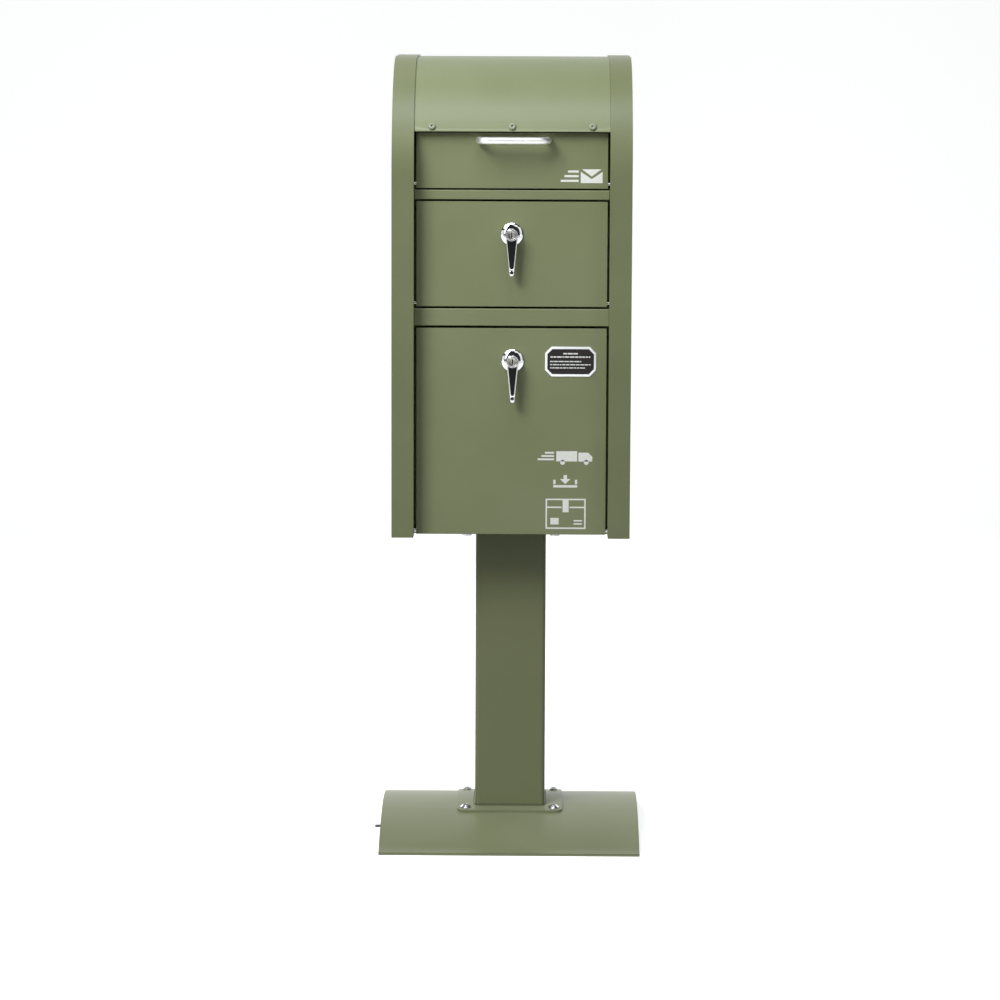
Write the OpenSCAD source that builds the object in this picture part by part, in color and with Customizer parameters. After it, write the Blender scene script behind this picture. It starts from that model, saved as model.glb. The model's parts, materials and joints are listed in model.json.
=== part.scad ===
// Free-standing pedestal drop box: letter flap, mail door and parcel door in a
// steel body with a quarter-round hood, on a square post and an arched base.
// Frame: +Z up, front towards -Y, origin on the ground under the post's centre.

/* [Body] */
// Width of the body across both side casings
body_w = 336; // [320:1:360]
// Depth of the body
body_d = 286; // [270:2:320]
// Height of the body's top above the ground
body_top = 1120; // [1110:5:1180]
// Height of the body's underside above the ground
body_bot = 448; // [440:1:448]
// Radius of the quarter-round hood, side casings
hood_r = 161; // [155:1:161]
// Width of each side casing
side_w = 31; // [28:1:34]
// Depth of the doors' faces behind the side casings' fronts
recess = 24; // [16:1:26]
// How far the casings stand proud of the hood
hood_drop = 2; // [1:0.5:3]
// Sheet thickness of the body
sheet = 1.5; // [1.2:0.1:1.6]
// Gap between a door's edge and the casing
door_gap = 3; // [2.5:0.5:3.5]

/* [Doors and rails] */
// Bottom and top of the parcel door
parcel_z = [450, 743]; // [440:1:760]
// Bottom and top of the rail under the mail door
lower_rail_z = [746, 770.5]; // [740:0.5:780]
// Bottom and top of the mail door
mail_z = [773.2, 921]; // [770:0.2:930]
// Bottom and top of the rail under the letter flap
upper_rail_z = [923.5, 937]; // [920:0.5:940]
// Bottom and top of the letter flap
flap_z = [939.5, 1017]; // [938:0.5:1020]
// Depth of the doors' return flanges
door_flange = 18; // [15:1:18]
// Depth of the flap's return flanges
flap_flange = 12; // [10:1:14]
// Diameter of a hinge pin
pin_d = 5; // [4:0.5:5]

/* [Locks] */
// Height of the mail lock's centre
mail_lock_z = 875.5; // [870:0.5:878]
// Height of the parcel lock's centre
parcel_lock_z = 697.5; // [692:0.5:700]
// How far the parcel lock sits to the right of the middle
parcel_lock_x = 1.8; // [0:0.1:3]
// Diameter of the lock's round plate
rose_d = 32; // [30:1:34]
// Length of the lever below the lock's centre
lever_len = 58; // [55:1:62]
// Length of the cam from the lock's centre
cam_len = 58; // [56:1:58]

/* [Bow handle] */
// Distance between the handle's two legs
bow_pitch = 96; // [90:1:98]
// Thickness of the handle's bar
bow_d = 10; // [8:0.5:10]
// How far the bar's centre stands off the flap
bow_out = 25; // [24:1:28]

/* [Post and base] */
// Width of the square post
post_w = 101; // [98:1:102]
// Wall of the post
post_t = 3.2; // [2.3:0.1:3.6]
// Width of the flanges at the post's ends
flange_w = 152; // [148:1:154]
// Depth of the foot flange
flange_d = 141; // [138:1:150]
// Distance between the flanges' bolts
bolt_pitch = 127; // [124:1:128]
// Distance between the foot flange's front and rear bolts
bolt_pitch_d = 116; // [114:1:124]
// Width of the arched base
base_w = 370; // [360:1:376]
// Depth of the arched base
base_d = 370; // [360:1:376]
// Height of the arch's crest
base_h = 42.5; // [42:0.5:46]
// Plate thickness of the base
base_t = 3.2; // [3:0.1:3.6]

/* [Hidden] */
$fn = 96;
yf = -body_d / 2;                 // front of the side casings
yb = body_d / 2;                  // back of the body
xi = body_w / 2 - side_w;         // inner wall of a side casing
face_y = yf + recess;             // front of the doors
arc_y = yf + hood_r;              // centre of the hood's curve
arc_z = body_top - hood_r;
door_x = xi - door_gap;           // half width of a door
hood_or = hood_r - hood_drop;     // outer radius of the hood
hood_x = xi - 0.2;                // half width of the hood
hood_lip_z = 1019;                // lower edge of the hood
screw_z = 1025.5;                 // height of the hood's screws
screw_x = 112;                    // spacing of the hood's screws
pin_r = pin_d / 2;
pin_y = face_y + 5.3;             // hinge axes, behind the doors' faces
flap_pin_z = flap_z[0] + 6;
mail_pin_z = mail_z[0] + 5;
parcel_pin_z = parcel_z[0] + 5;
rail_d = 20;                      // depth of the rails
shelf_z = 760;                    // underside of the divider shelf
cam_y = face_y + 21.5;            // front of the cams
cam_t = 3;
hub_r = 8.7;                      // radius of a lever's hub
plug_r = 7;                       // radius of a key plug
bow_x = 2;                        // the handle's centre
bow_z = 1007;
base_r = (pow(base_d / 2, 2) + pow(base_h, 2)) / (2 * base_h);
base_c = base_h - base_r;         // height of the arch's centre
fl_t = 3.2;                       // foot flange thickness
tf_t = 4.5;                       // top flange thickness
bolt_a = asin(bolt_pitch_d / 2 / (base_r + fl_t));
green = [0.50, 0.54, 0.39];

// ---- helpers ----

// Box from its low corner to its high corner
module box(a, b) { translate(a) cube(b - a); }

// A 2D shape drawn in (y, z), extruded along X from x0 to x1
module along_x(x0, x1) {
  translate([x0, 0, 0]) rotate([90, 0, 90]) linear_extrude(x1 - x0) children();
}

// Round bar from p along Y, X or Z
module rod_x(p, l, r) { translate(p) rotate([0, 90, 0]) cylinder(h = l, r = r); }
module rod_y(p, l, r) { translate(p) rotate([-90, 0, 0]) cylinder(h = l, r = r); }

// Side outline of the body, drawn in by i
module side_outline(i, r, bot) {
  union() {
    translate([yf + (hood_r - r) + i, bot]) square([body_d - (hood_r - r) - 2 * i, arc_z - bot]);
    translate([arc_y, arc_z - 1]) square([yb - i - arc_y, r - i + 1]);
    intersection() {
      translate([arc_y, arc_z]) circle(r - i, $fn = 180);
      translate([arc_y - 400, arc_z - 1]) square([401, 401]);
    }
  }
}

// Square with round corners, centred
module round_square(w, r) {
  union() {
    square([w - 2 * r, w], center = true);
    square([w, w - 2 * r], center = true);
    for (x = [-1, 1], y = [-1, 1]) translate([x * (w / 2 - r), y * (w / 2 - r)]) circle(r, $fn = 48);
  }
}

// Places a child at each bolt of the foot, with +Z along the arch's normal
module at_foot_bolts(r) {
  for (x = [-1, 1], s = [-1, 1])
    translate([x * bolt_pitch / 2, 0, base_c]) rotate([-s * bolt_a, 0, 0]) translate([0, 0, r]) children();
}

// ---- base, post and flanges ----

module base_plate() {
  color("darkkhaki") difference() {
    union() {
      along_x(-base_w / 2, base_w / 2) difference() {
        translate([0, base_c]) circle(base_r, $fn = 360);
        translate([0, base_c]) circle(base_r - base_t, $fn = 360);
        translate([-500, -900]) square([1000, 900]);
      }
      for (s = [-1, 1]) box([-base_w / 2, s > 0 ? base_d / 2 - 32 : -base_d / 2 + 3, 0],
                            [base_w / 2, s > 0 ? base_d / 2 - 3 : -base_d / 2 + 32, base_t]);
    }
    at_foot_bolts(base_r - 20) cylinder(h = 40, r = 4.5);
  }
}

// Strap welded under the arch, with an ear on the ground beside the base
module anchor_tab() {
  tz = base_h - base_t - 0.2;
  color("dimgray") difference() {
    union() {
      box([-197, -12.5, 0], [-168, -3.5, 2]);
      box([-170, -12.5, 0], [-168, -3.5, tz]);
      box([-170, -12.5, tz - 2], [-130, -3.5, tz]);
    }
    translate([-191.5, -8, -1]) cylinder(h = 4, r = 2.2);
  }
}

module foot_flange() {
  color("olivedrab") difference() {
    intersection() {
      along_x(-flange_w / 2, flange_w / 2) difference() {
        translate([0, base_c]) circle(base_r + fl_t, $fn = 360);
        translate([0, base_c]) circle(base_r + 0.05, $fn = 360);
      }
      linear_extrude(80) offset(10) square([flange_w - 20, flange_d - 20], center = true);
    }
    at_foot_bolts(base_r - 20) cylinder(h = 40, r = 4.5);
  }
}

module foot_weld() {
  color("olivedrab") difference() {
    linear_extrude(base_h + fl_t + 3) round_square(post_w + 6, 9);
    translate([0, 0, -1]) linear_extrude(base_h + fl_t + 7) round_square(post_w + 0.1, 6);
    along_x(-100, 100) translate([0, base_c]) circle(base_r + fl_t + 0.05, $fn = 360);
    for (s = [-1, 1]) translate([0, s * (post_w / 2 + 3.6), base_h + fl_t + 0.3])
      rotate([s * -45, 0, 0]) cube([200, 9, 6], center = true);
    for (s = [-1, 1]) translate([s * (post_w / 2 + 3.6), 0, base_h + fl_t + 3.6])
      rotate([0, s * 45, 0]) cube([8, 200, 6], center = true);
  }
}

// Pan-head bolts with a cross recess
module foot_bolts() {
  color("silver") at_foot_bolts(base_r + fl_t) difference() {
    union() {
      intersection() {
        translate([0, 0, -6.2]) sphere(r = 10.3);
        translate([0, 0, 0.1]) cylinder(h = 8, r = 7.2);
      }
      translate([0, 0, -17]) cylinder(h = 18, r = 4);
    }
    for (a = [0, 90]) rotate([0, 0, a]) translate([-3.4, -0.75, 2]) cube([6.8, 1.5, 5]);
  }
}

module foot_washers() {
  color("silver") at_foot_bolts(base_r - base_t) difference() {
    translate([0, 0, -1.8]) cylinder(h = 1.6, r = 9);
    translate([0, 0, -3]) cylinder(h = 4, r = 4.2);
  }
}

module foot_nuts() {
  color("silver") at_foot_bolts(base_r - base_t) difference() {
    translate([0, 0, -8.4]) cylinder(h = 6.5, r = 7.4, $fn = 6);
    translate([0, 0, -10]) cylinder(h = 9, r = 4.02);
  }
}

module post_tube() {
  color("olivedrab") difference() {
    linear_extrude(body_bot - tf_t) round_square(post_w, 6);
    translate([0, 0, -1]) linear_extrude(body_bot + 2) round_square(post_w - 2 * post_t, 3);
    along_x(-100, 100) translate([0, base_c]) circle(base_r + fl_t + 0.05, $fn = 360);
  }
}

module top_flange() {
  color("olivedrab") difference() {
    translate([0, 0, body_bot - tf_t + 0.05]) linear_extrude(tf_t - 0.1) round_square(flange_w, 10);
    for (x = [-1, 1], y = [-1, 1]) translate([x * bolt_pitch / 2, y * bolt_pitch / 2, body_bot - 20]) cylinder(h = 40, r = 4.5);
  }
}

module top_bolts() {
  color("silver") for (x = [-1, 1], y = [-1, 1]) translate([x * bolt_pitch / 2, y * bolt_pitch / 2, 0]) union() {
    translate([0, 0, body_bot - tf_t - 3.3]) cylinder(h = 3.3, r = 7);
    translate([0, 0, body_bot - tf_t - 1]) cylinder(h = 15, r = 4);
  }
}

module top_cap_nuts() {
  color("silver") for (x = [-1, 1], y = [-1, 1]) translate([x * bolt_pitch / 2, y * bolt_pitch / 2, body_bot + 2.1]) difference() {
    union() {
      cylinder(h = 6, r = 7.4, $fn = 6);
      cylinder(h = 9.5, r = 6.2);
      intersection() {
        translate([0, 0, 8]) sphere(r = 6.2);
        cylinder(h = 20, r = 7);
      }
    }
    translate([0, 0, -1]) cylinder(h = 10, r = 4.02);
  }
}

// ---- body shell ----

module floor_panel() {
  color("olivedrab") difference() {
    union() {
      box([-hood_x, face_y + rail_d + 1, body_bot], [hood_x, yb - sheet - 0.1, body_bot + 2]);
      box([-hood_x, face_y + rail_d + 1, body_bot], [hood_x, face_y + rail_d + 2.5, body_bot + 12]);
    }
    for (x = [-1, 1], y = [-1, 1]) translate([x * bolt_pitch / 2, y * bolt_pitch / 2, body_bot - 20]) cylinder(h = 40, r = 4.5);
  }
}

// Side casing: a closed sheet channel with a round front top, drain hole below
module side_casing(s) {
  a = s > 0 ? xi : -body_w / 2;
  b = s > 0 ? body_w / 2 : -xi;
  color("olivedrab") difference() {
    along_x(a, b) side_outline(0, hood_r, body_bot);
    along_x(a + sheet, b - sheet) side_outline(sheet, hood_r, body_bot + sheet);
    translate([(a + b) / 2, 60, body_bot - 1]) cylinder(h = 4, r = 4);
    for (z = [flap_pin_z, mail_pin_z, parcel_pin_z])
      rod_x([s > 0 ? xi - 1 : -xi - sheet - 1, pin_y, z], sheet + 2, pin_r + 0.05);
  }
}
module side_casing_left() { side_casing(-1); }
module side_casing_right() { side_casing(1); }

module back_panel() {
  color("olivedrab") box([-hood_x, yb - sheet, body_bot], [hood_x, yb, body_top - 12.1]);
}

module divider_shelf() {
  color("olivedrab") union() {
    box([-hood_x, face_y + rail_d + 0.1, shelf_z], [hood_x, yb - sheet - 0.1, shelf_z + sheet]);
    box([-hood_x, yb - sheet - 0.1 - sheet, shelf_z], [hood_x, yb - sheet - 0.1, shelf_z + 14]);
  }
}

// Rail: a channel with its open side to the back
module rail(z) {
  color("olivedrab") difference() {
    box([-hood_x, face_y, z[0]], [hood_x, face_y + rail_d, z[1]]);
    box([-hood_x - 1, face_y + sheet, z[0] + sheet], [hood_x + 1, face_y + rail_d + 1, z[1] - sheet]);
  }
}
module upper_rail() { rail(upper_rail_z); }
module lower_rail() { rail(lower_rail_z); }

// Jamb strip behind the doors' edges, folded into an angle
module jamb(s) {
  z0 = body_bot + 2.2;
  color("olivedrab") difference() {
    union() {
      box([s > 0 ? xi - 15 : -xi + 0.1, face_y + 19.5, z0], [s > 0 ? xi - 0.1 : -xi + 15, face_y + 21, flap_z[1] + 1]);
      box([s > 0 ? xi - 1.6 : -xi + 0.1, face_y + 19.5, z0], [s > 0 ? xi - 0.1 : -xi + 1.6, face_y + 34, flap_z[1] + 1]);
    }
    for (z = [lower_rail_z, upper_rail_z])
      box([-200, face_y + 10, z[0] - 0.2], [200, face_y + rail_d + 0.1, z[1] + 0.2]);
    box([-200, face_y + 10, shelf_z - 0.2], [200, face_y + 60, shelf_z + sheet + 0.2]);
    box([-200, face_y + 10, body_bot], [200, face_y + 23, body_bot + 12.2]);
  }
}
module jamb_left() { jamb(-1); }
module jamb_right() { jamb(1); }

// Rubber pads that the closed doors rest on
module door_bumpers() {
  color("black") for (s = [-1, 1], z = [mail_z[1] - 12, parcel_z[1] - 14])
    rod_y([s * (xi - 5.5), face_y + 18.4, z], 1.05, 4);
}

// Hood: one curved sheet with a folded lip over the flap and a folded back edge
module hood() {
  color("darkseagreen") difference() {
    union() {
      along_x(-hood_x, hood_x) difference() {
        side_outline(0, hood_or, 900);
        side_outline(sheet, hood_or, 890);
        translate([yf - 10, 880]) square([body_d + 20, hood_lip_z - 880]);
        translate([0, 880]) square([yb + 10, body_top - 880 - 12]);
      }
      box([-hood_x, -hood_or * cos(asin((hood_lip_z - arc_z) / hood_or)) + arc_y + 0.6, hood_lip_z],
          [hood_x, face_y + 12, hood_lip_z + sheet]);
    }
    for (x = [-1, 0, 1]) translate([x * screw_x, arc_y, arc_z])
      rotate([90 - asin((screw_z - arc_z) / hood_or), 0, 0]) cylinder(h = 300, r = 2.8);
  }
}

// Curved strip inside the hood that its screws bite into
module hood_stiffener() {
  a = asin((screw_z - arc_z) / hood_or);
  color("olivedrab") difference() {
    along_x(-hood_x, hood_x) difference() {
      translate([arc_y, arc_z]) circle(hood_or - sheet - 0.05, $fn = 180);
      translate([arc_y, arc_z]) circle(hood_or - sheet - 2.05, $fn = 180);
      translate([arc_y - 300, arc_z - 300]) square([600, 300 + hood_lip_z + sheet + 0.2 - arc_z]);
      translate([arc_y - 300, hood_lip_z + 16]) square([600, 300]);
      translate([arc_y, arc_z - 300]) square([600, 600]);
    }
    for (x = [-1, 0, 1]) translate([x * screw_x, arc_y, arc_z]) rotate([90 - a, 0, 0]) cylinder(h = 300, r = 2.52);
  }
}

module hood_screws() {
  a = asin((screw_z - arc_z) / hood_or);
  color("darkseagreen") for (x = [-1, 0, 1])
    translate([x * screw_x, arc_y, arc_z]) rotate([90 - a, 0, 0]) translate([0, 0, hood_or]) difference() {
      union() {
        translate([0, 0, 0.1]) cylinder(h = 1.2, r = 5.2);
        translate([0, 0, 1.3]) cylinder(h = 1.5, r1 = 5.2, r2 = 3.4);
        translate([0, 0, -11]) cylinder(h = 11.5, r = 2.5);
      }
      translate([0, 0, 1.2]) cylinder(h = 3, r = 1.75, $fn = 6);
    }
}

// ---- hinge pins ----

// A pair of headed pins on one hinge axis; reach is how far each goes inside
module pins(z, reach) {
  color("silver") for (s = [-1, 1]) union() {
    rod_x([s > 0 ? door_x - sheet - reach : -xi - sheet - 3, pin_y, z], reach + sheet + door_gap + sheet + 3, pin_r);
    rod_x([s > 0 ? door_x - sheet - reach : -door_x + sheet + reach - 1.8, pin_y, z], 1.8, pin_r + 0.6);
  }
}
module letter_flap_pins() { pins(flap_pin_z, 16); }
module mail_door_pins() { pins(mail_pin_z, 2); }
module parcel_door_pins() { pins(parcel_pin_z, 2); }

// ---- door panels ----

// A folded pan: face sheet with four return flanges, hinge bores in the sides
module pan(z, depth, pin_z) {
  difference() {
    box([-door_x, face_y, z[0]], [door_x, face_y + depth, z[1]]);
    box([-door_x + sheet, face_y + sheet, z[0] + sheet], [door_x - sheet, face_y + depth + 1, z[1] - sheet]);
    for (s = [-1, 1]) rod_x([s > 0 ? door_x - sheet - 1 : -door_x - 1, pin_y, pin_z], sheet + 2, pin_r + 0.08);
  }
}

module letter_flap_panel() {
  color("olivedrab") difference() {
    pan(flap_z, flap_flange, flap_pin_z);
    for (s = [-1, 1]) rod_y([bow_x + s * bow_pitch / 2, face_y - 1, bow_z], 4, 2.2);
  }
}

module mail_door_panel() {
  color("olivedrab") difference() {
    pan(mail_z, door_flange, mail_pin_z);
    rod_y([0, face_y - 1, mail_lock_z], 4, 9.4);
  }
}

module parcel_door_panel() {
  color("olivedrab") difference() {
    pan(parcel_z, door_flange, parcel_pin_z);
    rod_y([parcel_lock_x, face_y - 1, parcel_lock_z], 4, 9.4);
  }
}

// ---- letter flap's parts ----

module bow_handle() {
  r = bow_d / 2;
  bend = 14;
  y0 = face_y - 0.05;
  color("lightgray") difference() {
    union() {
      rod_x([bow_x - bow_pitch / 2 + bend, face_y - bow_out, bow_z], bow_pitch - 2 * bend, r);
      for (s = [-1, 1]) translate([bow_x + s * (bow_pitch / 2 - bend), face_y - bow_out + bend, bow_z])
        rotate([0, 0, s > 0 ? -90 : 180]) rotate_extrude(angle = 90) translate([bend, 0]) circle(r, $fn = 64);
      for (s = [-1, 1]) rod_y([bow_x + s * bow_pitch / 2, face_y - bow_out + bend, bow_z], bow_out - bend - 0.05, r);
    }
    for (s = [-1, 1]) rod_y([bow_x + s * bow_pitch / 2, face_y - 10, bow_z], 12, 2.02);
  }
}

module bow_handle_screws() {
  color("silver") for (s = [-1, 1]) translate([bow_x + s * bow_pitch / 2, 0, bow_z]) union() {
    rod_y([0, face_y - 8, 0], 10, 2);
    rod_y([0, face_y + sheet + 0.1, 0], 2.4, 3.8);
  }
}

// Torsion springs round the flap's pins: coils with one leg up and one leg back
module letter_flap_springs() {
  color("gray") for (s = [-1, 1]) translate([s * (door_x - sheet - 1.2), pin_y, flap_pin_z]) union() {
    for (i = [0 : 7]) translate([-s * (1 + i), 0, 0]) rotate([0, 90, 0])
      rotate_extrude() translate([3.25, 0]) circle(0.45, $fn = 24);
    translate([-s, -3.25, 1]) cylinder(h = 27, r = 0.45, $fn = 24);
    rod_y([-s * 8, 1, -3.25], 11, 0.45);
  }
}

// ---- locks, one set of modules for both doors, on the axis at height z ----

// Round plate with a threaded barrel through the door
module lock_body(z) {
  color("silver") translate([0, face_y - 0.05, z]) rotate([90, 0, 0]) difference() {
    union() {
      cylinder(h = 3, r = rose_d / 2);
      translate([0, 0, 3]) cylinder(h = 2, r1 = rose_d / 2, r2 = rose_d / 2 - 2);
      translate([0, 0, -17]) cylinder(h = 18, r = 9.3);
    }
    translate([0, 0, -20]) cylinder(h = 40, r = 6.05);
  }
}

module lock_nut(z) {
  color("silver") translate([0, face_y + sheet + 0.1, z]) rotate([-90, 0, 0]) difference() {
    cylinder(h = 4, r = 13.5, $fn = 6);
    translate([0, 0, -1]) cylinder(h = 6, r = 9.34);
  }
}

// Lever with its hub and spindle; points down at rest
module lever(z) {
  color("silver") translate([0, face_y - 5.4, z]) rotate([90, 0, 0]) difference() {
    union() {
      cylinder(h = 14, r = hub_r);
      translate([0, 0, -26.4]) cylinder(h = 27.4, r = 6);
      translate([0, 0, -29.8]) linear_extrude(4) square([8, 8], center = true);
      translate([0, 0, 5]) linear_extrude(8) union() {
        polygon([[-8.6, -1.5], [8.6, -1.5], [8.4, -9], [4.8, -48], [4.2, -53.5], [-4.2, -53.5], [-4.8, -48], [-8.4, -9]]);
        translate([0, -(lever_len - 4.3)]) circle(4.3, $fn = 48);
      }
    }
    translate([0, 0, 2]) cylinder(h = 20, r = plug_r + 0.05);
    translate([0, 0, -30]) cylinder(h = 9.2, r = 2.02);
    translate([0, 0, 12]) linear_extrude(3) difference() {
      polygon([[-6.5, -7], [6.5, -7], [2.85, -48.2], [-2.85, -48.2]]);
      circle(hub_r);
    }
  }
}

// Black insert in the lever's face
module lever_inlay(z) {
  color("black") translate([0, face_y - 5.4, z]) rotate([90, 0, 0]) translate([0, 0, 12.05])
    linear_extrude(1.15) difference() {
      polygon([[-6.35, -7], [6.35, -7], [2.7, -48], [-2.7, -48]]);
      circle(hub_r + 0.15);
    }
}

// Cam on the spindle's square end; lies to one side at rest, up when locked
module lock_cam(z) {
  color("silver") translate([0, cam_y, z]) rotate([-90, 0, 0]) difference() {
    linear_extrude(cam_t) union() {
      circle(10);
      polygon([[0, -9], [0, 9], [-cam_len + 6, 8], [-cam_len, 5], [-cam_len, -5], [-cam_len + 6, -8]]);
    }
    translate([0, 0, -1]) linear_extrude(cam_t + 2) square([8.1, 8.1], center = true);
  }
}

module cam_screw(z) {
  color("silver") translate([0, cam_y + cam_t + 0.1, z]) rotate([-90, 0, 0]) union() {
    cylinder(h = 1, r = 6.5);
    cylinder(h = 4, r = 4.6, $fn = 6);
    translate([0, 0, -9]) cylinder(h = 10, r = 2);
  }
}

// Key plug with its keyway, turning in the lever's hub
module key_plug(z) {
  color("silver") translate([0, face_y - 5.4, z]) rotate([90, 0, 0]) difference() {
    union() {
      translate([0, 0, 2.3]) cylinder(h = 11.9, r = plug_r);
      translate([0, 0, 14.1]) cylinder(h = 0.7, r1 = plug_r, r2 = plug_r - 0.7);
    }
    translate([-0.9, -4, 8]) cube([1.8, 8, 12]);
  }
}

module mail_lock_body() { lock_body(mail_lock_z); }
module mail_lock_nut() { lock_nut(mail_lock_z); }
module mail_lever() { lever(mail_lock_z); }
module mail_lever_inlay() { lever_inlay(mail_lock_z); }
module mail_lock_cam() { lock_cam(mail_lock_z); }
module mail_cam_screw() { cam_screw(mail_lock_z); }
module mail_key_plug() { key_plug(mail_lock_z); }
module parcel_lock_body() { translate([parcel_lock_x, 0, 0]) lock_body(parcel_lock_z); }
module parcel_lock_nut() { translate([parcel_lock_x, 0, 0]) lock_nut(parcel_lock_z); }
module parcel_lever() { translate([parcel_lock_x, 0, 0]) lever(parcel_lock_z); }
module parcel_lever_inlay() { translate([parcel_lock_x, 0, 0]) lever_inlay(parcel_lock_z); }
module parcel_lock_cam() { translate([parcel_lock_x, 0, 0]) lock_cam(parcel_lock_z); }
module parcel_cam_screw() { translate([parcel_lock_x, 0, 0]) cam_screw(parcel_lock_z); }
module parcel_key_plug() { translate([parcel_lock_x, 0, 0]) key_plug(parcel_lock_z); }

// Notice plate with cut corners, stuck on the parcel door
module notice_plate() {
  w = 36; h = 21; c = 9;
  color("silver") translate([83.5, face_y - 0.05, 696.3]) rotate([90, 0, 0]) linear_extrude(1)
    polygon([[-w, -h + c], [-w + c, -h], [w - c, -h], [w, -h + c], [w, h - c], [w - c, h], [-w + c, h], [-w, h - c]]);
}

base_plate();
anchor_tab();
foot_flange();
foot_weld();
foot_bolts();
foot_washers();
foot_nuts();
post_tube();
top_flange();
top_bolts();
top_cap_nuts();
floor_panel();
side_casing_left();
side_casing_right();
back_panel();
divider_shelf();
upper_rail();
lower_rail();
jamb_left();
jamb_right();
door_bumpers();
hood();
hood_stiffener();
hood_screws();
letter_flap_pins();
mail_door_pins();
parcel_door_pins();
letter_flap_panel();
bow_handle();
bow_handle_screws();
letter_flap_springs();
mail_door_panel();
mail_lock_body();
mail_lock_nut();
mail_lever();
mail_lever_inlay();
mail_lock_cam();
mail_cam_screw();
mail_key_plug();
parcel_door_panel();
parcel_lock_body();
parcel_lock_nut();
notice_plate();
parcel_lever();
parcel_lever_inlay();
parcel_lock_cam();
parcel_cam_screw();
parcel_key_plug();
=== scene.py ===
import json
import math

import bmesh
import bpy
import numpy as np
from mathutils import Matrix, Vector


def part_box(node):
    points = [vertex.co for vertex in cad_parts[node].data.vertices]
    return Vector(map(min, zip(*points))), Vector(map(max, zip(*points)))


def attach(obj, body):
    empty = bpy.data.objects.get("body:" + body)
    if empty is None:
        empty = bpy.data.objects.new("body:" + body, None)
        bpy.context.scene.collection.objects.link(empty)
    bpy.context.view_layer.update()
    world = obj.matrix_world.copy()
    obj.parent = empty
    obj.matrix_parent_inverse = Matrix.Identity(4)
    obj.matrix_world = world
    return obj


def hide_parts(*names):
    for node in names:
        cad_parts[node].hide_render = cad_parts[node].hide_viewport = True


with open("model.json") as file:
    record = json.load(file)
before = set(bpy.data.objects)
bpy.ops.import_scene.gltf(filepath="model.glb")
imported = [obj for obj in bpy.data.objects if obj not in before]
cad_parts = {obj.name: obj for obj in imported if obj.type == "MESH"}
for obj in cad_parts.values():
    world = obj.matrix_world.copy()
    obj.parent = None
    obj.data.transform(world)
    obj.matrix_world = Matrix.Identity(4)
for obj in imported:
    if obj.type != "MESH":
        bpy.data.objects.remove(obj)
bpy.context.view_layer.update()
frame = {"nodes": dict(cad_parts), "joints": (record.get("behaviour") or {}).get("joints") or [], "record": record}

# The drop box on its post: sheet-steel body with a quarter-round hood, letter flap,
# mail door and parcel door. Everything is in metres in the part's own frame.
mm = 0.001
scene = bpy.context.scene
body_of_node = {n: b for b, ns in frame["record"]["behaviour"]["bodies"].items() for n in ns}
slot_of_node = {s["node"]: s["material_slot"] for s in frame["record"]["subparts"]}
joint_at = {j["name"]: np.array(j["pos_m"], float) for j in frame["joints"]}


def corner(name):
    """Low and high corner of a CAD node as arrays."""
    lo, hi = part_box(name)
    return np.array(lo), np.array(hi)


face_y = corner("mail_door_panel")[0][1]  # plane of the doors' faces

# ---------------------------------------------------------------- materials


def srgb(code):
    """Linear RGBA of an sRGB hex colour."""
    c = np.array([int(code[i : i + 2], 16) for i in (1, 3, 5)]) / 255
    lin = np.where(c <= 0.04045, c / 12.92, ((c + 0.055) / 1.055) ** 2.4)
    return (*lin.tolist(), 1.0)


def add(mat, kind, links=(), **settings):
    """Adds one node. A setting goes to the input of that name (underscores for spaces) or to the
    node's own property; links are (input, node, output)."""
    n = mat.node_tree.nodes.new(kind)
    for key, value in settings.items():
        name = key.replace("_", " ")
        if name in n.inputs:
            n.inputs[name].default_value = value
        else:
            setattr(n, key, value)
    for socket, source, out in links:
        mat.node_tree.links.new(source.outputs[out], n.inputs[socket])
    return n


def finish_of(name, **settings):
    """A new material whose Principled shader takes the settings; returns both."""
    mat = bpy.data.materials.new(name)
    mat.use_nodes = True
    shader = mat.node_tree.nodes["Principled BSDF"]
    for key, value in settings.items():
        shader.inputs[key.replace("_", " ")].default_value = value
    return mat, shader


def wire(mat, shader, **sockets):
    """Links (node, output) pairs into the shader's inputs."""
    for key, (source, out) in sockets.items():
        mat.node_tree.links.new(source.outputs[out], shader.inputs[key.replace("_", " ")])


def stops(ramp, *pairs):
    """Sets a colour ramp's stops from (place, hex or grey) pairs."""
    el = ramp.color_ramp.elements
    while len(el) > 2:
        el.remove(el[-1])
    while len(el) < len(pairs):
        el.new(0.5)
    for e, (at, c) in zip(el, pairs):
        e.position = at
        e.color = srgb(c) if isinstance(c, str) else (c, c, c, 1)
    return ramp


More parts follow.
